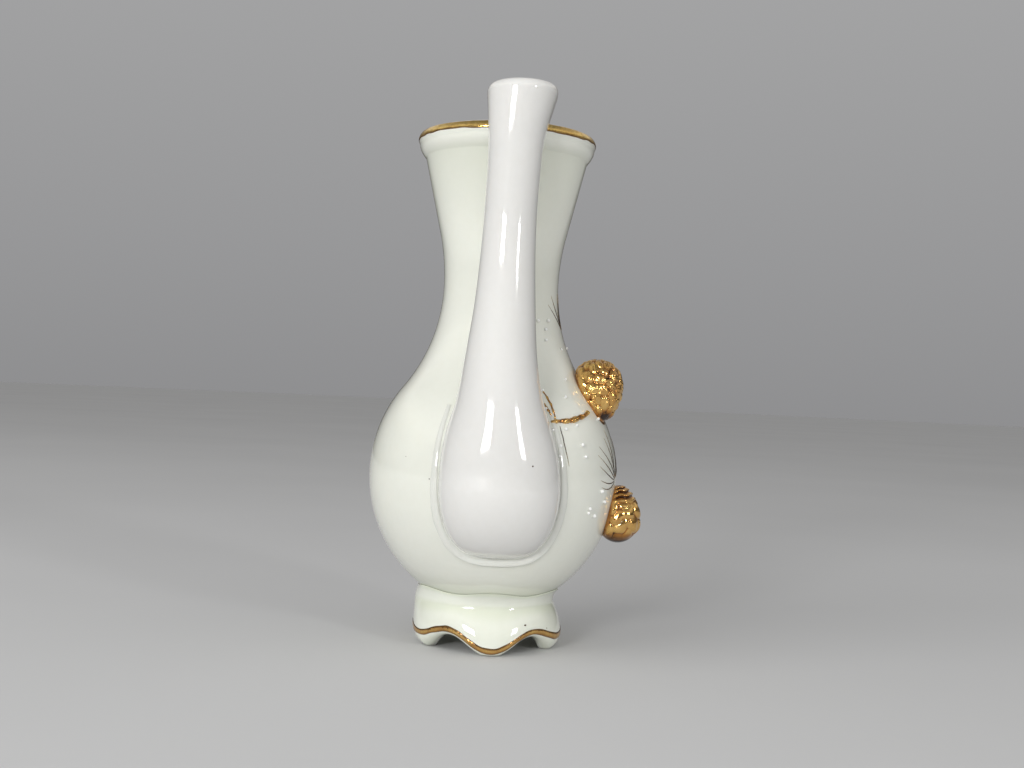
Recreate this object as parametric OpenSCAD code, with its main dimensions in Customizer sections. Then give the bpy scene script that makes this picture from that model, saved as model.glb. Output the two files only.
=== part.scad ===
// Two-handled porcelain vase on a scalloped foot, trimmed with a gilt pine sprig.
// Millimetres, +Z up. The vase's axis is the Z axis, and the foot rests on z = 0.
// The handles stand at -Y and +Y, and the pine sprig wraps the +X side.
// Azimuths are degrees round the axis, from -Y towards +X.

/* [Body] */
// Height of the rim above the table
rim_height = 192.4; // [188:0.2:200]
// Radius of the belly at its widest
belly_radius = 47; // [45:0.5:48]
// Height of the widest part of the belly
belly_height = 63.2; // [61:0.2:65]
// Radius of the arc that the belly's outline follows
belly_curve = 52.2; // [50:0.2:54]
// Radius of the neck at its narrowest
waist_radius = 21.75; // [20:0.25:24]
// Height of the narrowest part of the neck
waist_height = 135.4; // [132:0.2:138]
// Radius of the arc where the neck starts to flare
flare_curve = 85; // [70:1:100]
// Lean of the straight upper neck
flare_angle = 13.2; // [11:0.2:14]
// Outer radius of the rolled lip
lip_radius = 33.6; // [33:0.1:35]
// Radius of the roll itself
lip_bead = 3; // [2.6:0.1:3.4]
// Height where the underside of the lip meets the neck
lip_bottom = 182.8; // [181:0.2:184]
// Thickness of the wall
wall = 3.2; // [2.6:0.1:4]
// Thickness of the floor
floor_thick = 4; // [3:0.5:6]

/* [Foot] */
// Height of the body's underside above the table
base_height = 15; // [14:0.5:16]
// Radius of the foot at its gilt edge
foot_radius = 28.5; // [27.5:0.25:30]
// Radius of the foot where it is narrowest
foot_waist = 25; // [24:0.25:26]
// How much wider the foot's narrowest ring is on the side away from the sprig
foot_bulge = 2.6; // [0:0.2:3]
// Height where the foot is narrowest
foot_waist_height = 17; // [16:0.5:18]
// Height of the foot's upper edge, where it cups the belly
collar_height = 21.9; // [21:0.2:23]
// Rise and fall of that upper edge
collar_wave = 0.7; // [0.2:0.1:1]

/* [Handles] */
// Height of the top of each handle
handle_top = 203.3; // [201:0.1:206]
// Lowest point of the drop-shaped root on the belly
root_bottom = 37.2; // [36:0.2:39]
// Height where the root is widest
root_height = 62; // [60:0.5:64]
// Half of the width of the root
root_half_width = 21.3; // [20:0.1:22]
// How far the root stands proud of the belly
root_proud = 12.4; // [10:0.2:14]
// How strongly the strap wanders sideways, as hand-set straps do
strap_bow = 1; // [0:0.1:1.2]
// Turn of the strap's face towards its bowed side
strap_twist = 8; // [0:0.5:10]
// Rounding of the handle's top edge
top_round = 3.5; // [2:0.25:5]

/* [Pine sprig] */
// Length and width of the upper cone
upper_cone_size = [24.4, 18.4]; // [12:0.2:28]
// Length and width of the lower cone
lower_cone_size = [21.6, 15.8]; // [12:0.2:28]
// Half width of the gilt twig
twig_radius = 1.05; // [0.8:0.05:1.4]
// Height of the gilt twig above the belly
twig_height = 1.5; // [1:0.1:2]

/* [Gilding and enamel] */
// Width of the gilt line along the foot
foot_band = 2.1; // [1.6:0.1:2.6]
// Thickness of the gilding
gilt_thick = 0.2; // [0.15:0.05:0.3]
// Radius of the largest enamel bead
bead_radius = 0.75; // [0.5:0.05:1]

/* [Hidden] */

SKIN = 0.02;                 // gap left between an applied piece and the body
scallops = 6;                // gentle waves round the foot's upper edge and its gilt edge
edge_ripple = 0.5;           // how far those waves push the gilt edge in and out
hem_width = 1.8;             // thickness of the foot's lowest edge
hem_bevel = 1.4;             // rise of the chamfer inside that edge
foot_hollow = [18.6, 16.6];  // radius and height where the hollow of the foot meets the body
cone_taper = 0.14;           // how much fuller a cone is towards its tip
scale_relief = 0.07;         // depth of a cone's scales, as a share of its girth
golden_angle = 137.5;        // spaces out the knots of a twig
side_twig_size = [0.4, 0.45];  // half width and height
needle_size = [0.22, 0.18];    // half width and height
belly_centre = belly_radius - belly_curve;
reach = waist_radius - belly_centre;
rise = waist_height - belly_height;
// the lower neck's arc touches the belly's arc without a corner
neck_curve = (reach * reach + rise * rise - belly_curve * belly_curve)
    / (2 * (belly_curve - reach));
join_angle = atan2(rise, reach + neck_curve);
join_height = belly_height + belly_curve * sin(join_angle);
flare_height = waist_height + flare_curve * sin(flare_angle);
flare_radius = waist_radius + flare_curve * (1 - cos(flare_angle));
bead_height = rim_height - lip_bead;
throat_height = bead_height - lip_bead - 0.4;
taper_angle = 30;            // below the roll's middle, where the tapered underside starts
taper_height = bead_height - lip_bead * sin(taper_angle);
taper_radius = lip_radius - lip_bead * (1 - cos(taper_angle));

// ---- curves ----

function clamp(v, low, high) = min(max(v, low), high);
function mix(a, b, t) = a + (b - a) * t;
function smooth(t) = let (u = clamp(t, 0, 1)) u * u * (3 - 2 * u);
function unit(v) = v / norm(v);

function arc(x, z, r, from, to, steps) =
    [for (i = [0:steps]) let (a = mix(from, to, i / steps)) [x + r * cos(a), z + r * sin(a)]];

// radius of the straight upper neck at a height
function upper_neck(z) = flare_radius + (z - flare_height) * tan(flare_angle);

// the line of the body's wall, from the bottom up to a top height, moved inwards by d
function wall_line(d, bottom, top) = concat(
    arc(belly_centre, belly_height, belly_curve - d,
        -asin((belly_height - bottom) / (belly_curve - d)), join_angle, 40),
    arc(waist_radius + neck_curve, waist_height, neck_curve + d, 180 + join_angle, 180, 16),
    arc(waist_radius + flare_curve, waist_height, flare_curve + d, 180, 180 - flare_angle, 8),
    [[upper_neck(top) - d / cos(flare_angle), top]]);

// outer radius of the body at a height
function body_radius(z) =
    z < join_height
        ? belly_centre + sqrt(max(belly_curve * belly_curve - pow(z - belly_height, 2), 0))
    : z < waist_height
        ? waist_radius + neck_curve - sqrt(pow(neck_curve, 2) - pow(z - waist_height, 2))
    : z < flare_height
        ? waist_radius + flare_curve - sqrt(pow(flare_curve, 2) - pow(z - waist_height, 2))
    : z < lip_bottom
        ? upper_neck(z)
    : z < taper_height
        ? mix(upper_neck(lip_bottom), taper_radius,
            sin(90 * (z - lip_bottom) / (taper_height - lip_bottom)))
    : z < rim_height
        ? lip_radius - lip_bead + sqrt(max(pow(lip_bead, 2) - pow(z - bead_height, 2), 0))
    : 0;

// a smooth curve through [height, value] stations
function slope(k, i) =
    let (a = max(i - 1, 0), b = min(i + 1, len(k) - 1))
    (k[b][1] - k[a][1]) / (k[b][0] - k[a][0]);
function curve(k, z, i = 0) =
    i < len(k) - 2 && z > k[i + 1][0]
        ? curve(k, z, i + 1)
        : let (h = k[i + 1][0] - k[i][0], t = clamp((z - k[i][0]) / h, 0, 1))
            (1 + 2 * t) * pow(1 - t, 2) * k[i][1] + t * pow(1 - t, 2) * h * slope(k, i)
            + t * t * (3 - 2 * t) * k[i + 1][1] + t * t * (t - 1) * h * slope(k, i + 1);

// a wave through [angle, value] crests and troughs
function wave(k, a, i = 0) =
    i < len(k) - 2 && a > k[i + 1][0]
        ? wave(k, a, i + 1)
        : mix(k[i][1], k[i + 1][1],
            (1 - cos(180 * clamp((a - k[i][0]) / (k[i + 1][0] - k[i][0]), 0, 1))) / 2);
// the angle from the nearer handle, 0 to 90
function fold(a) = let (b = abs(a % 180)) min(b, 180 - b);

// keeps a point outside the body
function outside(p) =
    let (r = norm([p.x, p.y]), least = body_radius(p.z) + SKIN)
    r < least ? [p.x * least / r, p.y * least / r, p.z] : p;
function on_body(azimuth, z, lift = 0) =
    let (r = body_radius(z) + lift) [r * sin(azimuth), -r * cos(azimuth), z];

// ---- meshes ----

// a closed skin over rings of equally many points, each ring clockwise seen from the next
module loft(rings) {
    n = len(rings[0]);
    m = len(rings);
    first = [for (k = [0:2]) [for (p = rings[0]) p[k]] * [for (i = [1:n]) 1 / n]];
    last = [for (k = [0:2]) [for (p = rings[m - 1]) p[k]] * [for (i = [1:n]) 1 / n]];
    polyhedron(
        points = concat([for (r = rings, p = r) p], [first, last]),
        faces = concat(
            [for (i = [0:m - 2], j = [0:n - 1]) let (k = (j + 1) % n)
                [i * n + j, (i + 1) * n + j, i * n + k]],
            [for (i = [0:m - 2], j = [0:n - 1]) let (k = (j + 1) % n)
                [(i + 1) * n + j, (i + 1) * n + k, i * n + k]],
            [for (j = [0:n - 1]) [m * n, j, (j + 1) % n]],
            [for (j = [0:n - 1]) [m * n + 1, (m - 1) * n + (j + 1) % n, (m - 1) * n + j]]),
        convexity = 8);
}

// the same round a closed loop of rings
module hoop(rings) {
    n = len(rings[0]);
    m = len(rings);
    polyhedron(
        points = [for (r = rings, p = r) p],
        faces = concat(
            [for (i = [0:m - 1], j = [0:n - 1]) let (k = (j + 1) % n, e = (i + 1) % m)
                [i * n + j, e * n + j, i * n + k]],
            [for (i = [0:m - 1], j = [0:n - 1]) let (k = (j + 1) % n, e = (i + 1) % m)
                [e * n + j, e * n + k, i * n + k]]),
        convexity = 8);
}

// a ridge laid on the body along [azimuth, height] points: w is its half width, h its height
// and knots how unevenly it swells
module ridge(path, w, h, facets = 6, knots = 0) {
    m = len(path) - 1;
    centre = [for (p = path) on_body(p[0], p[1], SKIN)];
    loft([for (i = [0:m])
        let (t = unit(centre[min(i + 1, m)] - centre[max(i - 1, 0)]),
            out = unit([centre[i].x, centre[i].y, 0]),
            side = unit(cross(t, out)),
            up = cross(side, t),
            taper = mix(0.35, 1, pow(sin(180 * clamp(i / m, 0.02, 0.98)), 0.6)),
            swell = taper * (1 + knots * sin(i * golden_angle)))
        [for (j = [0:facets]) let (a = 180 - 180 * j / facets)
            centre[i] + side * w * swell * cos(a) + up * h * swell * sin(a)]]);
}

// a bent line from one [azimuth, height] to another, bowed by [azimuth, height] in its middle
function bent(a, b, bow, steps = 8) =
    [for (i = [0:steps]) let (t = i / steps) mix(a, b, t) + bow * 4 * t * (1 - t)];

// ---- body ----

module body_shell() {
    inner = wall_line(wall, base_height + floor_thick, throat_height);
    last = len(inner) - 1;
    color("white")
        rotate_extrude($fn = 180)
            polygon(concat(
                [[0, base_height]],
                wall_line(0, base_height, lip_bottom),
                [for (t = [0.2:0.2:0.8]) let (z = mix(lip_bottom, taper_height, t))
                    [body_radius(z), z]],
                arc(lip_radius - lip_bead, bead_height, lip_bead, -taper_angle, 200, 20),
                [for (i = [last:-1:0]) inner[i]],
                [[0, base_height + floor_thick]]));
}

// ---- foot ----

// heights of the gilt edge and of the lowest edge round the foot, from a handle to the side
edge_wave = [[0, 2], [35, 8.6], [62, 5.7], [90, 6.7]];
hem_wave = [[0, -0.6], [35, 6.2], [68, -0.5], [90, 2.4]];
function edge_height(a) = wave(edge_wave, fold(a));
function hem_height(a) = max(wave(hem_wave, fold(a)), 0);
function edge_radius(a) = foot_radius + edge_ripple * cos(scallops * a);
// the white edge below the gilt one is tucked in, more so where it hangs lower
function hem_radius(a) =
    edge_radius(a) - min(5, 1.3 + 0.75 * (edge_height(a) - hem_height(a)));
function waist_at(a) = foot_waist + foot_bulge * pow(max(-sin(a), 0), 2);
function collar_top(a) = collar_height + collar_wave * cos(scallops * a);

// [radius, height] of the foot's outer face: t is 0 at the upper edge, 1 at the narrowest
// ring, 2 at the gilt edge and 3 at the lowest edge
function foot_face(a, t) =
    t < 1
        ? let (z = mix(collar_top(a), foot_waist_height, t))
            [mix(body_radius(collar_top(a)) + 0.6, waist_at(a), 1 - pow(1 - t, 2)), z]
    : t < 2
        ? [mix(waist_at(a), edge_radius(a), pow(sin(90 * (t - 1)), 1.2)),
            mix(foot_waist_height, edge_height(a), t - 1)]
    : [mix(edge_radius(a), hem_radius(a), 1 - cos(90 * (t - 2))),
        mix(edge_height(a), hem_height(a), sin(90 * (t - 2)))];

function turned(a, p) = [p[0] * sin(a), -p[0] * cos(a), p[1]];

module foot_skirt() {
    color("ivory")
        hoop([for (i = [0:119]) let (a = 3 * i, hem = [hem_radius(a), hem_height(a)])
            [for (p = concat(
                [for (t = [0:0.25:3]) foot_face(a, t)],
                [hem - [hem_width, 0]],
                [hem + [-hem_width - 1, hem_bevel]],
                [mix(hem + [-hem_width - hem_bevel, 2 * hem_bevel], foot_hollow, 0.5)],
                [for (k = [0:0.25:1]) let (z = mix(foot_hollow[1], collar_top(a), k))
                    [body_radius(z) + SKIN, z]])) turned(a, p)]]);
}

module foot_gilding() {
    color("goldenrod")
        hoop([for (i = [0:119]) let (a = 3 * i, half = foot_band / 2,
                up = half / (foot_waist_height - edge_height(a)),
                down = half / max(edge_height(a) - hem_height(a), 1.6) * 0.75,
                points = [foot_face(a, 2 - up), foot_face(a, 2), foot_face(a, 2 + down)])
            [for (p = concat(
                [for (q = points) q + [gilt_thick, 0]],
                [for (k = [2:-1:0]) points[k] - [SKIN, 0]])) turned(a, p)]]);
}

// ---- handles ----

// [height, value] stations of the strap, from the root's widest line up
strap_half_width = [[62, root_half_width], [72, 20.6], [82, 18.5], [93, 15.1], [108, 12.6],
    [128, 10.6], [152, 9.4], [174, 9.4], [186, 10.1], [handle_top, 12.9]];
strap_face = [[62, body_radius(62) + root_proud], [73, 59], [91, 56.8], [112, 52.7], [133, 49.5],
    [150, 48.3], [168, 49], [186, 50.5], [handle_top, 52.1]];
strap_shift = [[37, 0], [62, -0.4], [82, -1.1], [106, -1.7], [127, -1.1], [148, -0.7],
    [162, -0.4], [175, 0], [186, 0.4], [handle_top, 2.2]];
strap_back = 4;              // depth of the strap behind its widest line
bridge_start = 168;          // where the back starts to reach for the rim
bridge_full = 188;
top_slope = 0.52;            // fall of the handle's top towards the rim
root_square = 0.62;          // 1 would make the root's lower edge an ellipse, 0 a square

// half width and height of the root's lower edge: a is 0 at its lowest point, 90 at its widest
function root_half(a) = root_half_width * pow(sin(a), root_square);
function root_z(a) = mix(root_height, root_bottom, cos(a));
// sideways offset and turn of the strap at a height
function bow_at(z) = strap_bow * curve(strap_shift, z);
function twist_at(z) = strap_twist * smooth((z - 75) / 50);

// one level section of a handle: half is its half width, face its outer face's distance from
// the axis, and inset draws the section in, to round the top
function handle_ring(z, half, face, inset = 0) =
    let (body = body_radius(z),
        seat = half < body ? sqrt(body * body - half * half) : 0,
        front = min(1.03 * half, face - seat) - inset,
        centre = face - inset - front,
        back = mix(strap_back, centre - (lip_radius - lip_bead),
            smooth((z - bridge_start) / (bridge_full - bridge_start))) - inset,
        fall = top_slope * smooth((z - bridge_start - 4) / (handle_top - bridge_start - 4)))
    [for (j = [0:31]) let (a = 360 * j / 32, c = cos(a), s = sin(a),
            power = c > 0 ? 1 : 0.8,
            x = (half - inset) * sign(s) * pow(abs(s), power),
            e = (c > 0 ? front : back) * sign(c) * pow(abs(c), power),
            t = twist_at(z))
        outside([x * cos(t) - e * sin(t) + bow_at(z), -centre - x * sin(t) - e * cos(t),
            z - fall * max(-e, 0)])];

module handle() {
    loft(concat(
        [for (a = [10:8:82]) let (z = root_z(a))
            handle_ring(z, root_half(a), body_radius(z) + root_proud * pow(sin(a), 0.75))],
        [for (z = [root_height:4:handle_top - top_round])
            handle_ring(z, curve(strap_half_width, z), curve(strap_face, z))],
        [for (a = [18:18:90]) let (z = handle_top - top_round * (1 - sin(a)))
            handle_ring(z, curve(strap_half_width, z), curve(strap_face, z),
                top_round * (1 - cos(a)))]));
}

// the bead of slip that closes the joint round a handle's root
module handle_luting() {
    bead_half_width = 1.5;
    bead_rise = 0.8;
    top_end = 90;
    right_side = concat(
        [for (a = [0:7.5:82.5])
            [(root_half_width + bead_half_width) * pow(sin(a), root_square),
                mix(root_height, root_bottom - bead_half_width, cos(a))]],
        [for (z = [root_height:4:top_end])
            [curve(strap_half_width, z) + bead_half_width, z]]);
    last = len(right_side) - 1;
    outline = concat(
        [for (i = [0:last - 1]) let (p = right_side[last - i]) [-p[0], p[1]]],
        right_side);
    path = [for (p = outline) [asin((p[0] + bow_at(p[1])) / body_radius(p[1])), p[1]]];
    ridge(path, bead_half_width, bead_rise);
}

module left_handle() { color("whitesmoke") handle(); }
module right_handle() { color("whitesmoke") rotate([0, 0, 180]) handle(); }
module left_handle_luting() { color("gainsboro") handle_luting(); }
module right_handle_luting() { color("gainsboro") rotate([0, 0, 180]) handle_luting(); }

// ---- gilding on the lip ----

module rim_gilding() {
    color("gold")
        rotate_extrude($fn = 180)
            polygon(concat(
                arc(lip_radius - lip_bead, bead_height, lip_bead + SKIN, 5, 61, 9),
                arc(lip_radius - lip_bead, bead_height, lip_bead + gilt_thick, 61, 5, 9)));
}

// ---- pine sprig ----

// a cone of overlapping scales, its stalk end at -z, laid at [azimuth, height] and turned in
// the plane that touches the body
module pine_cone(size, azimuth, z, lift, turn) {
    rows = 22;
    sides = 32;
    scales = 8;
    out = [sin(azimuth), -cos(azimuth), 0];
    along = [cos(azimuth), sin(azimuth), 0];
    axis = [0, 0, 1] * cos(turn) + along * sin(turn);
    side = cross(axis, out);
    centre = on_body(azimuth, z, lift);
    color("goldenrod")
        loft([for (i = [0:rows])
            let (t = mix(4, 176, i / rows),
                girth = size[1] / 2 * sin(t) * (1 - cone_taper * cos(t)),
                bump = scale_relief * (i % 2 == 0 ? 1 : -1) * sin(t))
            [for (j = [0:sides - 1])
                let (a = -360 * j / sides, r = girth * (1 + bump * cos(scales * a)))
                outside(centre - axis * size[0] / 2 * cos(t)
                    + side * r * cos(a) + out * r * sin(a))]]);
}

module upper_pine_cone() { pine_cone(upper_cone_size, 72, 96.7, 3.6, 14); }
module lower_pine_cone() { pine_cone(lower_cone_size, 76, 51.5, 2.6, 172); }

module main_twig(root, tip, bow) {
    ridge(bent(root, tip, bow, 12), twig_radius, twig_height, 8, 0.18);
}

module side_twig(root, tip, bow) {
    ridge(bent(root, tip, bow), side_twig_size[0], side_twig_size[1]);
}

// one painted stroke, which starts a little way out from the spray's root
module needle(root, tip, bow) {
    stroke = bent(root, tip, bow, 12);
    ridge([for (i = [2:12]) stroke[i]], needle_size[0], needle_size[1], 4);
}

module twig() {
    color("gold") {
        main_twig([24, 85.8], [53, 89.4], [0, -1]);
        main_twig([92, 92], [118, 87], [0, 1.4]);
    }
}

module side_twigs() {
    color("gold") {
        side_twig([30.2, 88.2], [23.6, 96.6], [-1, -0.6]);
        side_twig([24.6, 88], [22.2, 92], [-0.4, 0]);
        side_twig([111, 92], [119, 99], [1.5, 0]);
    }
}

module upper_needles() {
    root = [78, 119];
    color("saddlebrown") {
        needle(root, [68, 127], [0.5, 0.3]);
        needle(root, [55, 132], [-1.5, 0.5]);
        needle(root, [49, 128.4], [2, -0.8]);
        needle(root, [72, 133], [-0.6, 0]);
        needle(root, [86, 134], [-1, 1]);
        needle(root, [100, 131], [0, 1]);
        needle(root, [108, 126], [0, 1]);
    }
}

module middle_needles() {
    color("saddlebrown") {
        needle([28.4, 85.2], [31, 70.2], [-1.6, 0]);
        needle([112, 87], [121, 74], [1, 1]);
        needle([114, 86], [108, 71], [1.4, 0]);
    }
}

module lower_needles() {
    root = [71, 64.4];
    color("saddlebrown") {
        needle(root, [65, 83], [0.5, 1]);
        needle(root, [61, 80], [1, 0]);
        needle(root, [53.4, 77], [3, -1]);
        needle(root, [51.2, 74], [3, -1.5]);
        needle(root, [51.8, 70], [1, -1.2]);
        needle(root, [52.2, 65], [0, -1.2]);
        needle(root, [53.4, 62.4], [0, -1.8]);
        needle(root, [88, 82], [0, 1]);
        needle(root, [96, 77], [0, 1.6]);
        needle(root, [99, 71], [0, 1.5]);
    }
}

// [azimuth, height, size] of each enamel bead: 1 is the largest size
bead_places = [
    [33, 122, 0.9], [46, 122.4, 0.9], [41, 119, 0.8], [39, 115, 0.8], [58, 112, 0.7],
    [23.4, 96.6, 0.8], [38.6, 94.6, 0.8], [22.4, 90.2, 0.7], [47, 101, 0.7],
    [39, 84.6, 0.7], [24, 82.8, 0.7], [31.4, 83.2, 0.8], [40, 77.8, 0.9], [27, 77.4, 0.9],
    [26, 73.8, 0.7], [41, 73.6, 0.8], [62, 87, 0.7],
    [53, 61, 1], [45, 55, 0.9], [44.6, 53.4, 0.8], [49.4, 52.2, 1], [57, 57, 0.8],
    [92, 56, 0.9], [99, 61, 0.8], [104, 52, 0.9], [98, 108, 0.8], [106, 116, 0.8],
    [100, 84, 0.8], [109, 79, 0.7], [88, 113, 0.7],
];

module enamel_beads() {
    color("white")
        for (p = bead_places)
            translate(on_body(p[0], p[1], 0.6 * bead_radius * p[2]))
                sphere(r = bead_radius * p[2], $fn = 24);
}

body_shell();
foot_skirt();
left_handle();
right_handle();
left_handle_luting();
right_handle_luting();
rim_gilding();
foot_gilding();
upper_pine_cone();
lower_pine_cone();
twig();
side_twigs();
upper_needles();
middle_needles();
lower_needles();
enamel_beads();
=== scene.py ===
import math

import bpy
import numpy as np
from mathutils import Matrix, Vector


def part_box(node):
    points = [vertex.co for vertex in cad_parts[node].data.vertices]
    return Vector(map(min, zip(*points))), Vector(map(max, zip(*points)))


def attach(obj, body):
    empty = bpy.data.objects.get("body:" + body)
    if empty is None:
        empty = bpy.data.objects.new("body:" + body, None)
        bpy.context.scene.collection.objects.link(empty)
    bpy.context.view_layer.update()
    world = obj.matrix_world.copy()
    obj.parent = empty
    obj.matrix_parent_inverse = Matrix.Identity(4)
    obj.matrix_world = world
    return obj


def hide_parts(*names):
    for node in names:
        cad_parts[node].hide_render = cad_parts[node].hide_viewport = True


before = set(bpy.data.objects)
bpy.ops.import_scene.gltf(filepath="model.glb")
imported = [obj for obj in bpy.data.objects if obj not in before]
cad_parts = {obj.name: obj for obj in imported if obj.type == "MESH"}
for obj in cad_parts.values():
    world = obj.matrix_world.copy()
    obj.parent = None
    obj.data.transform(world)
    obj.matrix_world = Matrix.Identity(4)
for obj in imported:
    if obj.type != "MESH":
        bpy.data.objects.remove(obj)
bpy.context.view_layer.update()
MM = 0.001
rng = np.random.default_rng(41)  # the beads' unevenness

# ---------------------------------------------------------------- the vase's curves, in mm
RIM_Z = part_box("body_shell")[1][2] / MM
BASE_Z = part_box("body_shell")[0][2] / MM
HANDLE_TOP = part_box("left_handle")[1][2] / MM
BELLY_R, BELLY_Z, BELLY_ARC = 47.0, 63.2, 52.2
WAIST_R, WAIST_Z, FLARE_ARC, FLARE_DEG = 21.75, 135.4, 85.0, 13.2
LIP_R, LIP_BEAD, WALL, FLOOR = 33.6, 3.0, 3.2, 4.0
SKIN = 0.02  # how far a piece laid on the body stays off it
AROUND = 360  # points round a scalloped or hand-painted ring
UNDERCUT_DEG = 30  # how far the lip's bead turns in under itself
BELLY_X = BELLY_R - BELLY_ARC
REACH = WAIST_R - BELLY_X
RISE = WAIST_Z - BELLY_Z
NECK_ARC = (REACH**2 + RISE**2 - BELLY_ARC**2) / (2 * (BELLY_ARC - REACH))
JOIN_DEG = math.degrees(math.atan2(RISE, REACH + NECK_ARC))
JOIN_Z = BELLY_Z + BELLY_ARC * math.sin(math.radians(JOIN_DEG))
FLARE_Z = WAIST_Z + FLARE_ARC * math.sin(math.radians(FLARE_DEG))
FLARE_R = WAIST_R + FLARE_ARC * (1 - math.cos(math.radians(FLARE_DEG)))
BEAD_Z = RIM_Z - LIP_BEAD
THROAT_Z = BEAD_Z - LIP_BEAD - 0.4
TAPER_Z = BEAD_Z - LIP_BEAD / 2
TAPER_R = LIP_R - LIP_BEAD * (1 - math.cos(math.radians(UNDERCUT_DEG)))
LIP_BOTTOM = 182.8
LIP_BOTTOM_R = FLARE_R + (LIP_BOTTOM - FLARE_Z) * math.tan(math.radians(FLARE_DEG))


def sin(d):
    return np.sin(np.radians(d))


def cos(d):
    return np.cos(np.radians(d))


def mix(a, b, t):
    return a + (b - a) * t


def smooth(t):
    u = np.clip(t, 0, 1)
    return u * u * (3 - 2 * u)


def body_radius(z):
    """Outer radius of the body at a height."""
    z = np.asarray(z, float)
    belly = BELLY_X + np.sqrt(np.maximum(BELLY_ARC**2 - (z - BELLY_Z) ** 2, 0))
    neck = WAIST_R + NECK_ARC - np.sqrt(np.maximum(NECK_ARC**2 - (z - WAIST_Z) ** 2, 0))
    flare = WAIST_R + FLARE_ARC - np.sqrt(np.maximum(FLARE_ARC**2 - (z - WAIST_Z) ** 2, 0))
    straight = FLARE_R + (z - FLARE_Z) * math.tan(math.radians(FLARE_DEG))
    part = np.clip((z - LIP_BOTTOM) / (TAPER_Z - LIP_BOTTOM), 0, 1)
    taper = mix(LIP_BOTTOM_R, TAPER_R, sin(90 * part))
    lip = LIP_R - LIP_BEAD + np.sqrt(np.maximum(LIP_BEAD**2 - (z - BEAD_Z) ** 2, 0))
    return np.select(
        [z < JOIN_Z, z < WAIST_Z, z < FLARE_Z, z < LIP_BOTTOM, z < TAPER_Z, z < RIM_Z],
        [belly, neck, flare, straight, taper, lip],
        0.0,
    )


def outside(p):
    """Keeps points (n, 3) outside the body."""
    p = np.array(p, float)
    r = np.hypot(p[..., 0], p[..., 1])
    least = body_radius(p[..., 2]) + SKIN
    k = np.where(r < least, least / np.maximum(r, 1e-6), 1.0)
    p[..., 0] *= k
    p[..., 1] *= k
    return p


def on_body(azimuth, z, lift=0.0):
    """A point of the body's skin: azimuth in degrees from -Y towards +X."""
    r = body_radius(z) + lift
    return np.stack([r * sin(azimuth), -r * cos(azimuth), np.asarray(z, float)], -1)


def arc(x, z, r, a0, a1, steps):
    """Points [x, z] on a circle's arc, in degrees from +x towards +z."""
    a = np.linspace(a0, a1, steps + 1)
    return np.stack([x + r * cos(a), z + r * sin(a)], -1)


def wall_line(d, bottom, top):
    """[radius, height] points of the wall, d inside its outer face."""
    low = -math.degrees(math.asin((BELLY_Z - bottom) / (BELLY_ARC - d)))
    flare = math.radians(FLARE_DEG)
    top_r = FLARE_R + (top - FLARE_Z) * math.tan(flare) - d / math.cos(flare)
    return np.concatenate(
        [
            arc(BELLY_X, BELLY_Z, BELLY_ARC - d, low, JOIN_DEG, 56),
            arc(WAIST_R + NECK_ARC, WAIST_Z, NECK_ARC + d, 180 + JOIN_DEG, 180, 24)[1:],
            arc(WAIST_R + FLARE_ARC, WAIST_Z, FLARE_ARC + d, 180, 180 - FLARE_DEG, 12)[1:],
            [[top_r, top]],
        ]
    )


def hermite(stations, z):
    """A smooth curve through [height, value] stations."""
    k = np.array(stations, float)
    n = len(k)
    lo = np.maximum(np.arange(n) - 1, 0)
    hi = np.minimum(np.arange(n) + 1, n - 1)
    m = (k[hi, 1] - k[lo, 1]) / (k[hi, 0] - k[lo, 0])
    i = min(max(int(np.searchsorted(k[:, 0], z)) - 1, 0), n - 2)
    h = k[i + 1, 0] - k[i, 0]
    t = min(max((z - k[i, 0]) / h, 0), 1)
    return (
        (1 + 2 * t) * (1 - t) ** 2 * k[i, 1]
        + t * (1 - t) ** 2 * h * m[i]
        + t * t * (3 - 2 * t) * k[i + 1, 1]
        + t * t * (t - 1) * h * m[i + 1]
    )


def wobble(a, seed, terms=9, top=40):
    """Smooth hand-made unevenness round the axis, about -1 to 1, closed at 360 degrees."""
    r = np.random.default_rng(seed)
    freq = r.integers(2, top, terms)
    amp = 1.0 / np.sqrt(freq)
    phase = r.uniform(0, 360, terms)
    total = sum(p * sin(f * a + q) for f, p, q in zip(freq, amp, phase))
    return total / amp.sum() * 1.6


# ---------------------------------------------------------------- mesh helpers
def new_object(name, verts, faces, replaced, material, attrs=None, sharp=50):
    """A piece of the body "root" from points in mm, with its float attributes and its CAD node."""
    mesh = bpy.data.meshes.new(name)
    mesh.from_pydata((np.asarray(verts) * MM).tolist(), [], faces)
    mesh.validate()
    mesh.update()
    for key, values in (attrs or {}).items():
        layer = mesh.attributes.new(key, "FLOAT", "POINT")
        layer.data.foreach_set("value", np.asarray(values, np.float32).ravel())
    mesh.polygons.foreach_set("use_smooth", [True] * len(mesh.polygons))
    if sharp:
        mesh.set_sharp_from_angle(angle=math.radians(sharp))
    mesh.materials.append(material)
    obj = bpy.data.objects.new(name, mesh)
    bpy.context.scene.collection.objects.link(obj)
    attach(obj, "root")
    if replaced:
        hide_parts(replaced)
    return obj


def grid_faces(m, n, close_m=False, close_n=True, start=0):
    """Quads of an m by n grid of points, closed round either way."""
    i = np.arange(m if close_m else m - 1)
    j = np.arange(n if close_n else n - 1)
    i, j = np.meshgrid(i, j, indexing="ij")
    e = (i + 1) % m
    k = (j + 1) % n
    quads = np.stack([i * n + j, i * n + k, e * n + k, e * n + j], -1).reshape(-1, 4) + start
    return quads.tolist()


def flipped(faces):
    return [f[::-1] for f in faces]


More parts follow.
